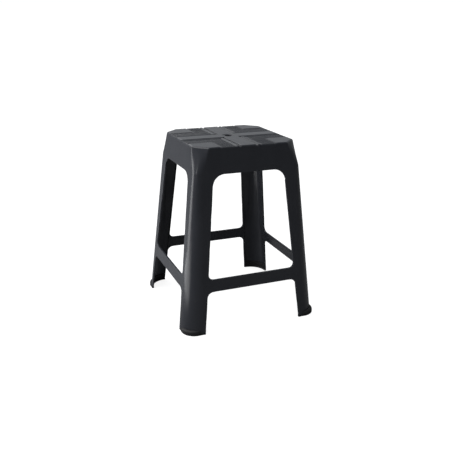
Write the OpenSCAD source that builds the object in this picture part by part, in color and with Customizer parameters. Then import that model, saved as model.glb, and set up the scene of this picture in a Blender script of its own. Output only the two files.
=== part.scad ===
// Square moulded step stool: one thin-walled plastic moulding with four splayed
// angle-section legs, an apron, a ring of stretchers and a patterned seat, standing
// on four push-in foot caps. Origin: floor level, on the vertical centre line.
// +Z is up, the front face looks along -Y.

/* [Overall size] */
// Height from the floor to the top of the seat
stool_h = 452; // [370:1:560]
// Width across the flat sides of the seat
seat_w = 264; // [220:1:320]
// Width across the outer faces of the feet
foot_w = 360; // [300:1:440]

/* [Moulding walls] */
// Thickness of the side walls, legs and stretchers
wall_t = 3; // [2:0.1:4]
// Thickness of the seat plate
seat_t = 4; // [3:0.1:6]
// Radius of the rolled edge around the seat
seat_edge_r = 4; // [2:0.5:6]
// Depth of the lip turned inwards along the leg edges and stretcher tops
lip_depth = 5; // [5:0.5:12]

/* [Corners] */
// Length cut from each seat corner by its flat facet
seat_corner = 32; // [20:1:40]
// Corner radius of the leg where the facet ends
leg_corner = 20; // [14:1:28]
// Corner radius of the leg at the floor
foot_corner = 50; // [30:1:60]
// Height of the flat corner facet below the seat
facet_h = 60; // [40:1:80]

/* [Legs, apron and stretchers] */
// Width of each leg face at the floor
leg_foot_w = 52.5; // [40:0.5:70]
// Width of each leg face at the top of the arch
leg_top_w = 47.3; // [35:0.1:60]
// Depth of the apron from the seat to the top of the arch
apron_h = 64; // [45:1:80]
// Radius of the upper corners of the arch
arch_r = 27; // [10:1:40]
// Height of the lower edge of the stretchers
stretcher_z = 105; // [70:1:150]
// Height of the stretcher band
stretcher_h = 31; // [22:1:45]
// Radius where the stretchers meet the legs
stretcher_r = 14; // [5:1:14]

/* [Seat pattern] */
// Half width of the smooth cross in the middle of the seat
cross_half_w = 19; // [15:0.5:24]
// Width of the deep groove on each side of the cross
groove_w = 5; // [3:0.5:6]
// Width of the ridge beside the deep groove
ridge_w = 7; // [5:0.5:9]
// Width of the narrow groove beside the ridge
thin_groove_w = 3; // [2:0.5:4]
// Depth of the grooves
groove_d = 1.5; // [0.8:0.1:1.8]
// Distance from the centre lines to each corner panel
panel_from = 68; // [60:1:76]

/* [Centre hole] */
// Diameter of the hole through the middle of the seat
hole_d = 18; // [14:0.5:22]
// Wall of the collar under the hole
collar_wall = 3.5; // [2:0.1:6]
// Depth of the collar below the seat plate
collar_h = 14; // [6:0.5:18]
// Width of the shallow dish around the top of the hole
dish_w = 6; // [3:0.5:9]
// Depth of the dish
dish_depth = 1; // [0.5:0.1:1.5]

/* [Underside ribs] */
// Thickness of each rib
rib_t = 2; // [1.5:0.1:3]
// Depth of the ribs below the seat plate
rib_h = 14; // [8:0.5:18]

/* [Foot caps] */
// Thickness of the sole that the leg end stands on
sole_t = 4; // [3:0.5:6]
// Width of the sole inwards past the plug
sole_ledge = 0.3; // [0.1:0.1:4]
// Height of the plug that grips the inside of the leg
plug_h = 16; // [10:1:24]
// Wall of the plug
plug_t = 2.5; // [2:0.1:4]
// How much smaller the radius of the round toe is than the corner of the leg
toe_bulge = 16; // [8:1:20]
// Height of the toe
toe_h = 13; // [12:0.5:24]
// Gap between each cap and the leg that it is pushed into
cap_clearance = 0.2; // [0.1:0.05:0.5]

/* [Hidden] */

charcoal = [0.13, 0.13, 0.14];
cap_black = [0.09, 0.09, 0.10];

// How far cutting solids run past the surfaces that they cut
past = 10;
// Straight pieces in each rounded corner of the body and of the openings
corner_steps = 7;
arch_steps = 8;
round_fn = 64;

facet_z = stool_h - facet_h;
arch_top_z = stool_h - apron_h;
stretcher_top_z = stretcher_z + stretcher_h;
toe_round = 6;
toe_foot_round = 1.5;
toe_r = foot_corner - toe_bulge;
// The axis of the toe stands where the toe touches both outer faces
toe_centre = foot_w / 2 - toe_r;
plug_inset = wall_t + cap_clearance;
sole_w = plug_inset + plug_t + sole_ledge;
// The leg lips stop where the arch begins to curve
lip_top_z = arch_top_z - arch_r;

ridge_from = cross_half_w + groove_w;
thin_groove_from = ridge_from + ridge_w;
collar_r = hole_d / 2 + collar_wall;
dish_r = hole_d / 2 + dish_w;

// ---- The tapering square body ----

// Half width of the body at height z
function half_w(z) = foot_w / 2 - (foot_w - seat_w) / 2 * z / stool_h;

// Length of corner removed at height z
function corner_at(z) =
    lookup(z, [[0, foot_corner], [facet_z, leg_corner], [stool_h, seat_corner]]);

// 1 where a corner is a true arc, 0 where it is a flat facet
function roundness(z) = z < facet_z ? 1 : (stool_h - z) / facet_h;

// An inward offset shortens a facet less than it shortens an arc
function corner_inset(z, inset) = inset * (2 - sqrt(2) + (sqrt(2) - 1) * roundness(z));

function corner_point(z, inset, t) =
    let (k = corner_at(z) - corner_inset(z, inset))
    let (centre = half_w(z) - inset - k)
    let (arc = [cos(90 * t), sin(90 * t)])
    let (facet = [1 - t, t])
    [centre, centre] + k * (roundness(z) * arc + (1 - roundness(z)) * facet);

// A point turned about Z by a number of quarter turns
function quarter(p, turns) =
    turns == 0 ? p : quarter([-p[1], p[0]], turns - 1);

function ring(z, inset) = [
    for (turns = [0:3], i = [0:corner_steps])
        let (p = quarter(corner_point(z, inset, i / corner_steps), turns))
        [p[0], p[1], z]
];

// Solid through rings given as [height, inset], from the bottom up
module loft(levels) {
    n = 4 * (corner_steps + 1);
    points = [for (level = levels) each ring(level[0], level[1])];
    sides = [
        for (i = [0:len(levels) - 2], j = [0:n - 1])
            let (a = i * n + j, b = i * n + (j + 1) % n)
            each [[a, a + n, b + n], [a, b + n, b]]
    ];
    bottom = [for (j = [0:n - 1]) j];
    top = [for (j = [n - 1:-1:0]) (len(levels) - 1) * n + j];
    polyhedron(points = points, faces = concat([bottom], sides, [top]), convexity = 6);
}

// The body between two heights, moved inwards from the outer face by inset
module body_core(inset, from_z, to_z) {
    middle = [for (z = [facet_z, (facet_z + stool_h) / 2]) if (z > from_z && z < to_z) [z, inset]];
    loft(concat([[from_z, inset]], middle, [[to_z, inset]]));
}

// The outside of the moulding, with the rolled edge at the seat
module body_outside() {
    loft(concat(
        [[sole_t, 0], [facet_z, 0], [(facet_z + stool_h) / 2, 0]],
        [
            for (turn = [0:30:90])
                [stool_h - seat_edge_r * (1 - sin(turn)), seat_edge_r * (1 - cos(turn))]
        ]
    ));
}

// ---- The openings between the legs ----

// Half width of the space between two legs at height z
function gap_half(z) = half_w(z) - leg_foot_w + (leg_foot_w - leg_top_w) * z / arch_top_z;

// A corner of an outline, rounded by radius r with straight pieces
function rounded_corner(before, p, after, r) =
    let (u = (before - p) / norm(before - p))
    let (v = (after - p) / norm(after - p))
    let (half = acos(u * v) / 2)
    let (centre = p + (u + v) / norm(u + v) * r / sin(half))
    let (start = p + u * r / tan(half) - centre)
    let (end = p + v * r / tan(half) - centre)
    let (from = atan2(start[1], start[0]))
    let (turn = atan2(start[0] * end[1] - start[1] * end[0], start * end))
    [
        for (i = [0:arch_steps])
            let (angle = from + turn * i / arch_steps)
            centre + r * [cos(angle), sin(angle)]
    ];

function rounded_outline(points, radii) =
    let (n = len(points))
    [
        for (i = [0:n - 1])
            each (radii[i] == 0
                ? [points[i]]
                : rounded_corner(points[(i + n - 1) % n], points[i], points[(i + 1) % n], radii[i]))
    ];

// Arched opening above the stretcher, made larger all round by grow
module arch_outline(grow) {
    low = stretcher_top_z - grow;
    high = arch_top_z + grow;
    w_low = gap_half(low) + grow;
    w_high = gap_half(high) + grow;
    polygon(rounded_outline(
        [[-w_low, low], [w_low, low], [w_high, high], [-w_high, high]],
        [stretcher_r + grow, stretcher_r + grow, arch_r + grow, arch_r + grow]
    ));
}

// Space between the legs below the stretcher
module foot_gap_outline(grow) {
    low = -past;
    high = stretcher_z + grow;
    w_low = gap_half(low) + grow;
    w_high = gap_half(high) + grow;
    polygon(rounded_outline(
        [[-w_low, low], [w_low, low], [w_high, high], [-w_high, high]],
        [0, 0, stretcher_r + grow, stretcher_r + grow]
    ));
}

// Runs an outline drawn in width and height right through the stool along Y
module through() {
    rotate([90, 0, 0])
        linear_extrude(height = foot_w + 2 * past, center = true)
            children();
}

module both_ways() {
    children();
    rotate([0, 0, 90]) children();
}

module openings() {
    both_ways() through() arch_outline(0);
    both_ways() through() foot_gap_outline(0);
}

// Outline of the lips: along the legs, and on top of the stretchers
module lip_outline() {
    intersection() {
        arch_outline(wall_t);
        translate([-foot_w / 2, 0]) square([foot_w, lip_top_z]);
    }
    for (side = [-1, 1]) {
        polygon([
            [side * gap_half(-past), -past],
            [side * (gap_half(-past) + wall_t), -past],
            [side * (gap_half(lip_top_z) + wall_t), lip_top_z],
            [side * gap_half(lip_top_z), lip_top_z]
        ]);
    }
}

// Lips turned inwards from the walls
module lips() {
    difference() {
        both_ways() through() lip_outline();
        body_core(lip_depth, -3 * past, lip_top_z + past);
    }
}

// ---- The seat ----

// An L-shaped line around the corner quarter of the seat that starts at from
module corner_line(from, line_w) {
    reach = seat_w / 2 + past;
    difference() {
        translate([from, from]) square(reach - from);
        translate([from + line_w, from + line_w]) square(reach);
    }
}

// The grooves that part the cross, the ridges, the pads and the corner panels
module seat_grooves() {
    translate([0, 0, stool_h - groove_d])
        linear_extrude(height = groove_d + past)
            for (turn = [0:90:270]) {
                rotate(turn) corner_line(cross_half_w, groove_w);
                rotate(turn) corner_line(thin_groove_from, thin_groove_w);
                rotate(turn) corner_line(panel_from, thin_groove_w);
            }
}

// Ribs and hole collar left standing on the underside of the seat plate
module underside() {
    under_z = stool_h - seat_t;
    both_ways()
        translate([-seat_w / 2 - past, -rib_t / 2, under_z - rib_h])
            cube([seat_w + 2 * past, rib_t, rib_h + past]);
    translate([0, 0, under_z - collar_h])
        cylinder(h = collar_h + past, r = collar_r, $fn = round_fn);
}

module centre_hole() {
    translate([0, 0, stool_h - seat_t - rib_h - past])
        cylinder(h = seat_t + rib_h + 2 * past, r = hole_d / 2, $fn = round_fn);
    translate([0, 0, stool_h - dish_depth])
        cylinder(h = past, r = dish_r, $fn = round_fn);
}

module stool_shell() {
    color(charcoal)
        difference() {
            body_outside();
            difference() {
                body_core(wall_t, -2 * past, stool_h - seat_t);
                lips();
                underside();
            }
            openings();
            seat_grooves();
            centre_hole();
        }
}

// ---- The foot caps ----

module toe_profile() {
    intersection() {
        square([toe_r, toe_h]);
        polygon(rounded_outline(
            [[-toe_r, 0], [toe_r, 0], [toe_r, toe_h], [-toe_r, toe_h]],
            [toe_foot_round, toe_foot_round, toe_round, toe_round]
        ));
    }
}

// Round bumper outside the leg corner, joined to the sole below
module toe() {
    difference() {
        translate([toe_centre, toe_centre, 0])
            rotate_extrude($fn = round_fn) toe_profile();
        body_core(-cap_clearance, sole_t, toe_h + past);
        body_core(sole_w, -past, sole_t + past);
        openings();
    }
}

// Flat sole under the leg end, flush with the leg faces
module sole() {
    intersection() {
        difference() {
            body_core(0, 0, sole_t);
            body_core(sole_w, -past, sole_t + past);
            openings();
        }
        cube([foot_w, foot_w, sole_t]);
    }
}

// Upright wall that grips the inside of the leg
module plug() {
    clear_of_lips = wall_t + 2 * cap_clearance;
    intersection() {
        difference() {
            body_core(plug_inset, 0, sole_t + plug_h);
            body_core(plug_inset + plug_t, -past, sole_t + plug_h + past);
            both_ways() through() foot_gap_outline(clear_of_lips);
        }
        cube([foot_w, foot_w, sole_t + plug_h]);
    }
}

module foot_cap() {
    color(cap_black)
        union() {
            sole();
            plug();
            toe();
        }
}

module foot_cap_rear_right() {
    foot_cap();
}

module foot_cap_rear_left() {
    rotate([0, 0, 90]) foot_cap();
}

module foot_cap_front_left() {
    rotate([0, 0, 180]) foot_cap();
}

module foot_cap_front_right() {
    rotate([0, 0, 270]) foot_cap();
}

stool_shell();
foot_cap_front_left();
foot_cap_front_right();
foot_cap_rear_right();
foot_cap_rear_left();
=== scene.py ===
"""Looks of the moulded step stool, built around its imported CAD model.

The shell and the foot caps are each written as a field: a function of a point that is negative
inside the plastic, with every edge rounded. surface_net() turns a field into a mesh of quads.
Lengths are in millimetres until a mesh is made, and in metres from there on.
"""
import math

import bmesh
import bpy
import numpy as np
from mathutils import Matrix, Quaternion, Vector


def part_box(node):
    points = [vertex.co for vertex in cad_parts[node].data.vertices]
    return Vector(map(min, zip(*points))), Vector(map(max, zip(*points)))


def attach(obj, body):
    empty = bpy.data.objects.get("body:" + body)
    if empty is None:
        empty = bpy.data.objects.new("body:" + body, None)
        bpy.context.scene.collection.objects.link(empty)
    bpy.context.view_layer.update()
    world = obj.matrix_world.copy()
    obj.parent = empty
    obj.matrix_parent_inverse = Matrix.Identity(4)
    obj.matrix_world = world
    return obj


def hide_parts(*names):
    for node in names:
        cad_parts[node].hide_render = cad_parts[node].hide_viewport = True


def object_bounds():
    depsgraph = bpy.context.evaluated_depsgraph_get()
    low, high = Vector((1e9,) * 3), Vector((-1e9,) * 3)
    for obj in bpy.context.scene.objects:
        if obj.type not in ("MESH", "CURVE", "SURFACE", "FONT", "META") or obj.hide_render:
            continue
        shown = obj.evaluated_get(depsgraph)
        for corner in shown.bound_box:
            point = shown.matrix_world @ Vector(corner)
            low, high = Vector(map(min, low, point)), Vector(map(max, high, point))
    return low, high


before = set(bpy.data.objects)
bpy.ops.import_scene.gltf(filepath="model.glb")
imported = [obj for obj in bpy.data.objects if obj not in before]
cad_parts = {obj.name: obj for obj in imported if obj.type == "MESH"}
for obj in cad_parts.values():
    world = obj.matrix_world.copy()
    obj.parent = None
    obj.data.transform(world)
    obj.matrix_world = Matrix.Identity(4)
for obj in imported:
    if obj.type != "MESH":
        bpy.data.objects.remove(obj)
cad_low, cad_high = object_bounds()

MM = 0.001

# ---- Sizes, in millimetres ----

STOOL_H = cad_high[2] / MM
FOOT_W = (cad_high[0] - cad_low[0]) / MM
SOLE_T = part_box("stool_shell")[0].z / MM
PLUG_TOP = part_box("foot_cap_rear_right")[1].z / MM
SEAT_W = 264.0
WALL_T = 3.0
SEAT_T = 4.0
SEAT_EDGE_R = 4.0
LIP_DEPTH = 5.0

SEAT_CORNER = 32.0
LEG_CORNER = 20.0
FOOT_CORNER = 50.0
FACET_H = 60.0
FACET_Z = STOOL_H - FACET_H

LEG_FOOT_W = 52.5
LEG_TOP_W = 47.3
ARCH_R = 27.0
ARCH_TOP_Z = STOOL_H - 64.0
STRETCHER_Z = 105.0
STRETCHER_TOP_Z = STRETCHER_Z + 31.0
STRETCHER_R = 14.0
LIP_TOP_Z = ARCH_TOP_Z - ARCH_R

CROSS_HALF_W = 19.0
GROOVE_W = 5.0
RIDGE_W = 7.0
THIN_GROOVE_W = 3.0
GROOVE_D = 1.5
DEEP_GROOVE_D = 2.4
GROOVE_BANK = 0.6
RIDGE_CROWN = 0.8
PAD_OVERLAP = 1.0
RIDGE_FROM = CROSS_HALF_W + GROOVE_W
THIN_GROOVE_FROM = RIDGE_FROM + RIDGE_W
PAD_FROM = THIN_GROOVE_FROM + THIN_GROOVE_W
PAD_TO = 68.0
PANEL_FROM = PAD_TO + THIN_GROOVE_W

HOLE_R = 9.0
COLLAR_R = HOLE_R + 3.5
DISH_R = HOLE_R + 6.0
DISH_DEPTH = 1.0
DISH_BANK = 1.5
RIB_T = 2.0
RIB_H = 14.0

TOE_R = FOOT_CORNER - 16.0
TOE_H = 13.0
CAP_CLEARANCE = 0.2
PLUG_INSET = WALL_T + CAP_CLEARANCE
PLUG_T = 2.5
SOLE_W = PLUG_INSET + PLUG_T + 0.3

# Radii of the rounded edges
EDGE_R = 0.8
FACET_EDGE_R = 1.5
INNER_R = 1.5
TOE_TOP_R = 6.0
TOE_FOOT_R = 1.5
SEAM_R = 0.5

# The knurl on the seat pads: small pyramids in diagonal rows. The mesh has lines every KNURL_GRID
# and cuts between them, so that the points and corners of the pyramids fall on its vertices.
KNURL_REPEAT = 4.8
KNURL_GRID = 3.2
KNURL_START = 35.2
KNURL_END = 67.2
KNURL_H = 1.1
KNURL_CUTS = 3
KNURL_DROP = 3.5
KNURL_FADE = 1.2

# Distances between the grid lines of the mesh: usual, along straight walls, at rounded edges and
# at the small features of the seat
GRID = 1.8
GRID_COARSE = 8.0
GRID_ROUND = 1.5
GRID_FINE = 1.0


# ---- Field helpers: negative is inside ----


def round_meet(a, b, r):
    """The space inside both a and b, with their shared edge rounded to radius r."""
    outside = np.hypot(np.maximum(a + r, 0), np.maximum(b + r, 0))
    return np.minimum(np.maximum(a, b) + r, 0) + outside - r


def round_join(a, b, r):
    """The space inside a or b, with the corner between them filled to radius r."""
    return -round_meet(-a, -b, r)


def smooth_step(t):
    t = np.clip(t, 0, 1)
    return t * t * (3 - 2 * t)


# ---- The tapering square body ----


def half_w(z):
    return FOOT_W / 2 - (FOOT_W - SEAT_W) / 2 * z / STOOL_H


def body_side(x, y, z, inset):
    """Distance outside the side faces, once they have moved inwards by inset."""
    roundness = np.clip((STOOL_H - z) / FACET_H, 0, 1)
    shortening = 2 - math.sqrt(2) + (math.sqrt(2) - 1) * roundness
    corner = np.interp(z, [0, FACET_Z, STOOL_H], [FOOT_CORNER, LEG_CORNER, SEAT_CORNER])
    corner = corner - inset * shortening
    centre = half_w(z) - inset - corner
    past_x = np.abs(x) - centre
    past_y = np.abs(y) - centre
    flat = np.maximum(past_x, past_y)
    arc = np.minimum(flat, 0) + np.hypot(np.maximum(past_x, 0), np.maximum(past_y, 0)) - corner
    facet = round_meet(flat - corner, (past_x + past_y - corner) / math.sqrt(2), FACET_EDGE_R)
    return roundness * arc + (1 - roundness) * facet


def gap_half(z):
    """Half the width of the space between two legs."""
    return half_w(z) - LEG_FOOT_W + (LEG_FOOT_W - LEG_TOP_W) * z / ARCH_TOP_Z


def arch(across, z, grow):
    """The arched opening above the stretcher, made larger all round by grow."""
    side = np.abs(across) - gap_half(z) - grow
    top = round_meet(side, z - ARCH_TOP_Z - grow, ARCH_R + grow)
    foot = round_meet(side, STRETCHER_TOP_Z - grow - z, STRETCHER_R + grow)
    return np.maximum(top, foot)


def floor_gap(across, z, grow):
    """The space between the legs under the stretcher."""
    side = np.abs(across) - gap_half(z) - grow
    return round_meet(side, z - STRETCHER_Z - grow, STRETCHER_R + grow)


def openings(x, y, z):
    arches = np.minimum(arch(x, z, 0), arch(y, z, 0))
    gaps = np.minimum(floor_gap(x, z, 0), floor_gap(y, z, 0))
    return np.minimum(arches, gaps)


# ---- The shell's field ----


def trench(at, start, width):
    """1 in a groove that starts there and has that width, and 0 outside it."""
    from_edge = np.minimum(at - start, start + width - at)
    return smooth_step(from_edge / GROOVE_BANK + 0.5)


def seat_top(x, y):
    """Height of the seat's upper surface, with its grooves, pads and dish."""
    from_cross = np.minimum(np.abs(x), np.abs(y))
    deep = trench(from_cross, CROSS_HALF_W, GROOVE_W)
    thin = trench(from_cross, THIN_GROOVE_FROM, THIN_GROOVE_W)
    border = trench(from_cross, PAD_TO, THIN_GROOVE_W)
    pad_w = PAD_TO - PAD_FROM + 2 * PAD_OVERLAP
    pad = trench(from_cross, PAD_FROM - PAD_OVERLAP, pad_w)
    dish = smooth_step((DISH_R - np.hypot(x, y)) / DISH_BANK + 0.5)
    ridge_middle = RIDGE_FROM + RIDGE_W / 2
    on_ridge = np.abs(from_cross - ridge_middle) / (RIDGE_W / 2)
    crown = np.where(on_ridge < 1, RIDGE_CROWN * on_ridge**2, 0)
    depth = np.maximum(DEEP_GROOVE_D * deep, GROOVE_D * np.maximum(thin, border))
    depth = np.maximum(depth, np.maximum(crown, KNURL_H * pad))
    return STOOL_H - np.maximum(depth, DISH_DEPTH * dish)


def lip(across, z, depth_in):
    """The lip that turns inwards beside an opening, on the faces that it is cut through."""
    band = np.abs(np.abs(across) - gap_half(z) - WALL_T / 2) - WALL_T / 2
    outline = np.minimum(arch(across, z, WALL_T), band)
    return np.maximum(np.maximum(outline, z - LIP_TOP_Z), depth_in - LIP_DEPTH)


def shell_field(x, y, z):
    side = body_side(x, y, z, 0)
    outside = round_meet(side, z - seat_top(x, y), SEAT_EDGE_R)
    outside = np.maximum(outside, SOLE_T - z)
    under_seat = z - STOOL_H + SEAT_T
    hollow = round_meet(body_side(x, y, z, WALL_T), under_seat, INNER_R)
    lips = np.minimum(lip(x, z, -side), lip(y, z, -side))
    rib = np.minimum(np.abs(x), np.abs(y)) - RIB_T / 2
    rib = round_meet(rib, STOOL_H - SEAT_T - RIB_H - z, EDGE_R)
    collar = np.hypot(x, y) - COLLAR_R
    collar = round_meet(collar, STOOL_H - SEAT_T - RIB_H - z, EDGE_R)
    inner = round_join(rib, collar, INNER_R)
    hollow = round_meet(hollow, -inner, INNER_R)
    hollow = np.maximum(hollow, -lips)
    walls = np.maximum(outside, -hollow)
    cut = round_meet(walls, -openings(x, y, z), EDGE_R)
    cut = round_meet(cut, SOLE_T - z, EDGE_R)
    return round_meet(cut, HOLE_R - np.hypot(x, y), EDGE_R)


# ---- A foot cap's field, for the corner where x and y are positive ----


def cap_field(x, y, z):
    gap = np.minimum(floor_gap(x, z, 0), floor_gap(y, z, 0))
    toe_centre = FOOT_W / 2 - TOE_R
    toe = np.hypot(x - toe_centre, y - toe_centre) - TOE_R
    toe = round_meet(toe, z - TOE_H, TOE_TOP_R)
    leg_room = np.maximum(body_side(x, y, z, -CAP_CLEARANCE), SOLE_T - z)
    toe = np.maximum(toe, -leg_room)
    sole = round_meet(body_side(x, y, z, 0), z - SOLE_T, SEAM_R)
    outer = round_join(toe, sole, EDGE_R)
    outer = round_meet(outer, -body_side(x, y, z, SOLE_W), SEAM_R)
    outer = round_meet(outer, -gap, EDGE_R)
    beside_lips = np.minimum(floor_gap(x, z, PLUG_INSET), floor_gap(y, z, PLUG_INSET))
    plug = np.maximum(body_side(x, y, z, PLUG_INSET), -body_side(x, y, z, PLUG_INSET + PLUG_T))
    plug = round_meet(plug, -beside_lips, EDGE_R)
    plug = round_meet(plug, z - PLUG_TOP, EDGE_R)
    return round_meet(np.minimum(outer, plug), -z, TOE_FOOT_R)


# ---- From a field to a mesh ----


def grid_lines(start, *runs):
    """Grid coordinates from start on, where each run is (where it ends, the step it keeps to)."""
    lines = [start]
    for end, step in runs:
        count = max(1, round((end - lines[-1]) / step))
        lines.extend(np.linspace(lines[-1], end, count + 1)[1:])
    return np.array(lines)


LOW_PART, HIGH_PART, INNER_PART = slice(None, -1), slice(1, None), slice(1, -1)
FOUR_PARTS = (
    (LOW_PART, LOW_PART),
    (HIGH_PART, LOW_PART),
    (HIGH_PART, HIGH_PART),
    (LOW_PART, HIGH_PART),
)


def across_from(axis, parts):
    """An index that takes the two given parts on the axes other than axis."""
    index = list(parts)
    index.insert(axis, slice(None))
    return tuple(index)


def along(axis, part):
    index = [slice(None)] * 3
    index[axis] = part
    return tuple(index)


def surface_net(lines, field, taper=None):
    """Vertices and outward quads of the surface where field is zero, one vertex to a cell.

    taper(z) widens the grid at that height, so that its lines can follow sloping walls.
    """
    grid = np.meshgrid(*lines, indexing="ij")
    if taper is not None:
        widening = taper(grid[2])
        grid = [grid[0] * widening, grid[1] * widening, grid[2]]
    value = field(*grid)
    inside = value < 0
    cells = tuple(len(line) - 1 for line in lines)
    total = np.zeros(cells + (3,))
    count = np.zeros(cells)
    crossings = []
    for axis in range(3):
        low, high = along(axis, LOW_PART), along(axis, HIGH_PART)
        cross = inside[low] != inside[high]
        crossings.append((cross, inside[low]))
        share = np.where(cross, value[low] / np.where(cross, value[low] - value[high], 1), 0)
        for parts in FOUR_PARTS:
            count += cross[across_from(axis, parts)]
        for k in range(3):
            where = np.where(cross, grid[k][low] + share * (grid[k][high] - grid[k][low]), 0)
            for parts in FOUR_PARTS:
                total[..., k] += where[across_from(axis, parts)]
    used = count > 0
    index = np.full(cells, -1)
    index[used] = np.arange(used.sum())
    quads = []
    for axis, (cross, low_inside) in enumerate(crossings):
        inner = across_from(axis, (INNER_PART, INNER_PART))
        hit = cross[inner]
        quad = np.stack([index[across_from(axis, parts)][hit] for parts in FOUR_PARTS], axis=1)
        backwards = low_inside[inner][hit] == (axis == 1)
        quad[backwards] = quad[backwards][:, ::-1]
        quads.append(quad)
    return total[used] / count[used][:, None], np.concatenate(quads)


def slope(points, field):
    """The field's value and gradient at each point."""
    reach = 0.04
    gradient = np.empty_like(points)
    for axis in range(3):
        step = np.zeros(3)
        step[axis] = reach
        ahead = field(*(points + step).T)
        behind = field(*(points - step).T)
        gradient[:, axis] = (ahead - behind) / (2 * reach)
    return field(*points.T), gradient


def settle(points, field, rounds=3):
    """Moves the points onto the surface, and gives its outward directions there."""
    furthest = 0.5
    for _ in range(rounds):
        value, gradient = slope(points, field)
        steepness = np.maximum((gradient**2).sum(1), 0.05)
        move = np.clip(value / steepness, -furthest, furthest)
        points = points - move[:, None] * gradient
    _, gradient = slope(points, field)
    length = np.maximum(np.linalg.norm(gradient, axis=1, keepdims=True), 1e-6)
    return points, gradient / length


def quarter_turn(points, turns):
    for _ in range(turns):
        points = np.stack([-points[:, 1], points[:, 0], points[:, 2]], axis=1)
    return points


# ---- The knurl ----


def knurl_height(x, y):
    """Height of the pyramids over the pads, from 0 to KNURL_H."""
    rising = np.abs((x + y) / KNURL_REPEAT % 1 - 0.5) * 2
    falling = np.abs((x - y) / KNURL_REPEAT % 1 - 0.5) * 2
    return KNURL_H * (1 - np.maximum(rising, falling))


def on_pad(points):
    """1 on a knurled pad, falling to 0 at its borders and below the rolled edge."""
    from_cross = np.minimum(np.abs(points[:, 0]), np.abs(points[:, 1]))
    border = np.minimum(from_cross - PAD_FROM, PAD_TO - from_cross)
    height = points[:, 2] - (STOOL_H - KNURL_DROP)
    return smooth_step(border / KNURL_FADE) * smooth_step(height / KNURL_FADE)


def divide_pads(points, quads):
    """Divides the faces of the pads, finely enough to carry the knurl."""
    made = bmesh.new()
    corners = [made.verts.new(p) for p in points]
    for quad in quads:
        made.faces.new([corners[i] for i in quad])
    wanted = on_pad(points) > 0
    made.verts.index_update()
    edges = set()
    for face in made.faces:
        if any(wanted[v.index] for v in face.verts):
            edges.update(face.edges)
    bmesh.ops.subdivide_edges(made, edges=list(edges), cuts=KNURL_CUTS, use_grid_fill=True)
    made.verts.index_update()
    points = np.array([v.co for v in made.verts])
    faces = [[v.index for v in face.verts] for face in made.faces]
    made.free()
    return points, faces


# ---- The pieces ----


def shell_quarter():
    """Vertices, faces and outward directions of the corner where x and y are positive."""
    across = grid_lines(
        -GRID / 2,
        (GRID / 2, GRID),
        (CROSS_HALF_W - 2, GRID),
        (KNURL_START, GRID_FINE),
        (KNURL_END, KNURL_GRID),
        (PANEL_FROM + 1, GRID_FINE),
        (SEAT_W / 2 - LEG_TOP_W, KNURL_GRID),
        (SEAT_W / 2 - SEAT_EDGE_R, 1.4),
        (SEAT_W / 2 + 1, GRID_FINE),
    )
    rib_z = STOOL_H - SEAT_T - RIB_H
    upward = grid_lines(
        SOLE_T - 1,
        (SOLE_T + 3, 0.8),
        (STRETCHER_Z - STRETCHER_R - 1, GRID_COARSE),
        (STRETCHER_Z + 3, GRID_ROUND),
        (STRETCHER_TOP_Z - WALL_T - 2, 5.0),
        (STRETCHER_TOP_Z + STRETCHER_R + 1, GRID_ROUND),
        (LIP_TOP_Z - 3, GRID_COARSE),
        (FACET_Z + 2, GRID_ROUND),
        (rib_z - 2, 2.2),
        (rib_z + 2, GRID_FINE),
        (STOOL_H - SEAT_T - 3, 2.2),
        (STOOL_H + 1, 0.7),
    )
    points, quads = surface_net(
        (across, across, upward), shell_field, lambda z: half_w(z) / half_w(STOOL_H)
    )
    on_x_plane = points[:, 0] < GRID / 2
    on_y_plane = points[:, 1] < GRID / 2
    points, _ = settle(points, shell_field)
    points[on_x_plane, 0] = 0
    points[on_y_plane, 1] = 0
    points, faces = divide_pads(points, quads)
    knurled = on_pad(points)
    settled, normals = settle(points, shell_field, 1)
    raised = knurled > 0
    lift = knurl_height(settled[raised, 0], settled[raised, 1]) * knurled[raised]
    points[raised] = settled[raised] + lift[:, None] * normals[raised]
    normals[points[:, 0] == 0, 0] = 0
    normals[points[:, 1] == 0, 1] = 0
    normals[raised] = 0
    return points, faces, normals


def whole_from_quarter(points, faces, normals):
    """Four turned copies, joined where they meet on the centre planes."""
    turned = np.concatenate([quarter_turn(points, n) for n in range(4)])
    directions = np.concatenate([quarter_turn(normals, n) for n in range(4)])
    key = np.round(turned * 1000).astype(np.int64)
    target = np.arange(len(turned))
    first = {}
    for i in np.flatnonzero((key[:, 0] == 0) | (key[:, 1] == 0)):
        target[i] = first.setdefault(tuple(key[i]), i)
    kept, compact = np.unique(target, return_inverse=True)
    whole = [
        [int(compact[i + n * len(points)]) for i in face] for n in range(4) for face in faces
    ]
    return turned[kept], whole, directions[kept]


def place(name, points, faces, normals, node, slot, material):
    """A smooth mesh piece, in metres. Where a direction is zero, the faces give it."""
    mesh = bpy.data.meshes.new(name)
    mesh.from_pydata((points * MM).tolist(), [], faces)
    mesh.validate()
    mesh.polygons.foreach_set("use_smooth", [True] * len(mesh.polygons))
    given = np.array(normals)
    missing = ~given.any(axis=1)
    own = np.array([v.normal for v in mesh.vertices])
    given[missing] = own[missing]
    mesh.normals_split_custom_set_from_vertices(given.tolist())
    mesh.materials.append(material)
    piece = bpy.data.objects.new(name, mesh)
    bpy.context.scene.collection.objects.link(piece)
    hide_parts(node)
    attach(piece, "root")


def add_shell(material):
    whole = whole_from_quarter(*shell_quarter())
    place("moulded_shell", *whole, "stool_shell", "moulded_plastic", material)


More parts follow.
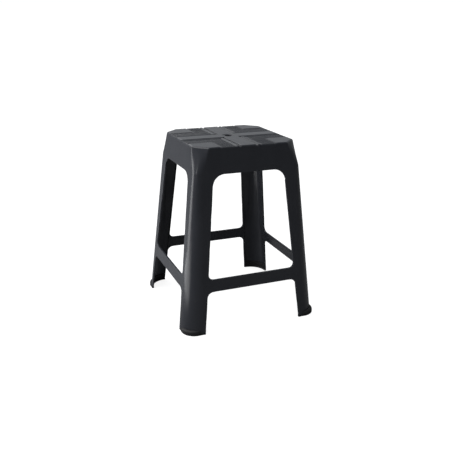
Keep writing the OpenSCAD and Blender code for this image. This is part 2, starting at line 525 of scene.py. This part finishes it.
def add_foot_caps(material):
    """One cap's mesh, turned into each corner."""
    inner_edge = FOOT_W / 2 - LEG_FOOT_W - 3
    across = grid_lines(inner_edge, (FOOT_W / 2 + 2, 1.25))
    upward = grid_lines(
        -1,
        (SOLE_T + 2, 0.7),
        (TOE_H - TOE_TOP_R, GRID_ROUND),
        (PLUG_TOP + 1, GRID_FINE),
    )
    points, quads = surface_net((across, across, upward), cap_field)
    points, normals = settle(points, cap_field)
    points[:, 2] = np.maximum(points[:, 2], 0)
    for turns, corner in enumerate(("rear_right", "rear_left", "front_left", "front_right")):
        place(
            "cap_" + corner,
            quarter_turn(points, turns),
            quads.tolist(),
            quarter_turn(normals, turns),
            "foot_cap_" + corner,
            "foot_cap",
            material,
        )


# ---- Materials ----

# Painted shade: the near-black colour that darkens the grooves and inner creases
CREASE_SHADE_COLOUR = (0.006, 0.006, 0.007)


def new_material(name):
    """A node material and its tree, which holds a Principled shader and the output."""
    material = bpy.data.materials.new(name)
    material.use_nodes = True
    return material, material.node_tree


def add_node(tree, kind, inputs=None, **settings):
    node = tree.nodes.new("ShaderNode" + kind)
    for key, value in settings.items():
        setattr(node, key, value)
    for key, value in (inputs or {}).items():
        if isinstance(value, bpy.types.NodeSocket):
            tree.links.new(value, node.inputs[key])
        else:
            node.inputs[key].default_value = value
    return node


def noise(tree, where, scale, detail=3.0, roughness=0.55):
    return add_node(
        tree,
        "TexNoise",
        {"Vector": where, "Scale": scale, "Detail": detail, "Roughness": roughness},
    ).outputs["Fac"]


def mapped(tree, value, low, high, to_low, to_high):
    inputs = {
        "Value": value,
        "From Min": low,
        "From Max": high,
        "To Min": to_low,
        "To Max": to_high,
    }
    return add_node(tree, "MapRange", inputs).outputs["Result"]


def mixed(tree, share, a, b):
    """A colour between a and b."""
    node = add_node(tree, "Mix", {"Factor": share}, data_type="RGBA")
    for socket, value in ((node.inputs[6], a), (node.inputs[7], b)):
        if isinstance(value, bpy.types.NodeSocket):
            tree.links.new(value, socket)
        else:
            socket.default_value = (*value, 1)
    return node.outputs[2]


def math_node(tree, operation, a, b):
    return add_node(tree, "Math", {0: a, 1: b}, operation=operation).outputs[0]


def moulded_surface(name, dark, light, gloss_low, gloss_high, grain_depth, wear_colour):
    """Satin moulded plastic: fine grain, faint flow marks, rubbed edges, scuffs and painted shade
    that darkens the grooves.

    Pointiness is over 0.5 on an edge and under 0.5 in a groove.
    """
    material, tree = new_material(name)
    shader = tree.nodes["Principled BSDF"]
    where = add_node(tree, "TexCoord").outputs["Object"]
    stretched = add_node(tree, "Mapping", {"Vector": where, "Scale": (1, 1, 0.12)})
    flow = noise(tree, stretched.outputs["Vector"], 60, 4)
    cloud = noise(tree, where, 14, 4)
    mottle = noise(tree, where, 900, 2)
    cloudy = mapped(tree, cloud, 0.35, 0.65, 0, 0.5)
    tone = math_node(tree, "ADD", cloudy, math_node(tree, "MULTIPLY", flow, 0.5))
    colour = mixed(tree, tone, dark, light)
    colour = mixed(tree, mapped(tree, mottle, 0.4, 0.7, 0, 0.12), colour, light)

    pointed = add_node(tree, "NewGeometry").outputs["Pointiness"]
    rubbed = mapped(tree, pointed, 0.505, 0.56, 0, 1)
    patchy = mapped(tree, noise(tree, where, 120, 5), 0.4, 0.62, 0.15, 1)
    wear = math_node(tree, "MULTIPLY", rubbed, patchy)
    scuff_space = add_node(
        tree,
        "Mapping",
        {"Vector": where, "Rotation": (0, 0, 0.6), "Scale": (1, 0.06, 0.4)},
    )
    scuff = noise(tree, scuff_space.outputs["Vector"], 420, 2)
    scuff = mapped(tree, scuff, 0.64, 0.8, 0, 0.35)
    scuff_patch = mapped(tree, noise(tree, where, 22, 2), 0.5, 0.62, 0, 1)
    marks = math_node(tree, "MULTIPLY", scuff, scuff_patch)
    worn = math_node(tree, "MAXIMUM", math_node(tree, "MULTIPLY", wear, 0.7), marks)
    colour = mixed(tree, worn, colour, wear_colour)
    # Painted shade: where pointiness is low, in grooves and inner creases, the colour is darkened
    # towards near-black and the surface made rougher
    crease_shade = mapped(tree, pointed, 0.43, 0.492, 0.85, 0)
    colour = mixed(tree, crease_shade, colour, CREASE_SHADE_COLOUR)
    tree.links.new(colour, shader.inputs["Base Color"])

    rough = mapped(tree, noise(tree, where, 45, 5), 0.3, 0.7, gloss_low, gloss_high)
    rough = math_node(tree, "ADD", rough, math_node(tree, "MULTIPLY", marks, 0.25))
    rough = math_node(tree, "ADD", rough, math_node(tree, "MULTIPLY", crease_shade, 0.45))
    tree.links.new(rough, shader.inputs["Roughness"])
    shader.inputs["Specular IOR Level"].default_value = 0.3

    grain = noise(tree, where, 1500, 3, 0.6)
    waves = noise(tree, where, 35, 2)
    fine = add_node(tree, "Bump", {"Strength": 0.3, "Distance": grain_depth, "Height": grain})
    broad = add_node(
        tree,
        "Bump",
        {
            "Strength": 0.15,
            "Distance": 0.0006,
            "Height": waves,
            "Normal": fine.outputs["Normal"],
        },
    )
    tree.links.new(broad.outputs["Normal"], shader.inputs["Normal"])
    return material


# ---- Floor, light and camera ----


def add_floor():
    """A wide pale floor, which glows a little to the camera alone so that it looks white."""
    bpy.ops.mesh.primitive_plane_add(size=80)
    floor = bpy.context.object
    floor.name = "floor"
    material, tree = new_material("pale_floor")
    shader = tree.nodes["Principled BSDF"]
    shader.inputs["Base Color"].default_value = (0.27, 0.27, 0.273, 1)
    shader.inputs["Roughness"].default_value = 0.6
    shader.inputs["Specular IOR Level"].default_value = 0.1
    shader.inputs["Emission Color"].default_value = (1, 1, 1, 1)
    seen = add_node(tree, "LightPath").outputs["Is Camera Ray"]
    glow = math_node(tree, "MULTIPLY", seen, 0.9)
    tree.links.new(glow, shader.inputs["Emission Strength"])
    floor.data.materials.append(material)


def add_panel(name, place, aim, width, height, watts):
    """A soft rectangular lamp that faces aim."""
    lamp = bpy.data.objects.new(name, bpy.data.lights.new(name, "AREA"))
    lamp.data.shape = "RECTANGLE"
    lamp.data.size = width
    lamp.data.size_y = height
    lamp.data.energy = watts
    lamp.location = place
    lamp.rotation_euler = (Vector(aim) - Vector(place)).to_track_quat("-Z", "Y").to_euler()
    bpy.context.scene.collection.objects.link(lamp)


def add_studio_light():
    """A dim room that is paler behind and to the left, a broad soft lamp and four panels."""
    world = bpy.data.worlds.new("studio")
    bpy.context.scene.world = world
    world.use_nodes = True
    tree = world.node_tree
    background = tree.nodes["Background"]
    direction = add_node(tree, "TexCoord").outputs["Generated"]
    towards_pale = {0: direction, 1: (-0.5, 0.8, 0.3)}
    facing = add_node(tree, "VectorMath", towards_pale, operation="DOT_PRODUCT")
    strength = mapped(tree, facing.outputs["Value"], -0.3, 0.95, 0.17, 0.52)
    seen = add_node(tree, "LightPath").outputs["Is Camera Ray"]
    strength = math_node(tree, "MAXIMUM", strength, math_node(tree, "MULTIPLY", seen, 1.1))
    background.inputs["Color"].default_value = (0.93, 0.96, 1, 1)
    tree.links.new(strength, background.inputs["Strength"])

    lamp = bpy.data.objects.new("soft_lamp", bpy.data.lights.new("soft_lamp", "SUN"))
    lamp.data.energy = 1.9
    lamp.data.angle = math.radians(50)
    lamp.rotation_euler = Vector((0.35, -0.1, -1.0)).to_track_quat("-Z", "Y").to_euler()
    bpy.context.scene.collection.objects.link(lamp)

    middle = (0, 0, 0.3)
    add_panel("left_panel", (-1.0, 0.4, 0.36), middle, 0.55, 0.72, 4.8)
    add_panel("low_panel", (-0.82, 0.08, 0.003), (-0.82, 0.08, 1), 0.75, 0.55, 4.5)
    add_panel("rear_panel", (-0.4, 1.6, 1.5), middle, 1.6, 0.8, 6)
    add_panel("facet_panel", (-1.1, -0.45, 0.62), middle, 0.1, 0.25, 1.3)


def add_camera():
    """Low on the front left of the stool, aimed at half its height."""
    aim = Vector((0, 0, 225 * MM))
    distance = 1624.68 * MM
    azimuth = math.radians(-21.953)
    elevation = math.radians(18.449)
    roll = Quaternion((0, 0, 1), math.radians(0.333))
    out_x = math.sin(azimuth) * math.cos(elevation)
    out_y = -math.cos(azimuth) * math.cos(elevation)
    out = Vector((out_x, out_y, math.sin(elevation)))
    camera = bpy.data.objects.new("camera", bpy.data.cameras.new("camera"))
    camera.rotation_mode = "QUATERNION"
    camera.location = aim + out * distance
    camera.rotation_quaternion = (-out).to_track_quat("-Z", "Y") @ roll
    camera.data.lens = 47.48
    camera.data.shift_x = 0.0083
    camera.data.shift_y = -0.0253
    bpy.context.scene.collection.objects.link(camera)
    bpy.context.scene.camera = camera


add_camera()
add_floor()
add_studio_light()
add_shell(
    moulded_surface(
        "charcoal_plastic",
        dark=(0.0240, 0.0260, 0.0320),
        light=(0.0320, 0.0340, 0.0410),
        gloss_low=0.19,
        gloss_high=0.25,
        grain_depth=0.00012,
        wear_colour=(0.045, 0.047, 0.054),
    )
)
add_foot_caps(
    moulded_surface(
        "cap_rubber",
        dark=(0.009, 0.009, 0.0098),
        light=(0.016, 0.016, 0.0175),
        gloss_low=0.5,
        gloss_high=0.65,
        grain_depth=0.0002,
        wear_colour=(0.022, 0.022, 0.022),
    )
)
bpy.context.scene.view_settings.view_transform = "Standard"
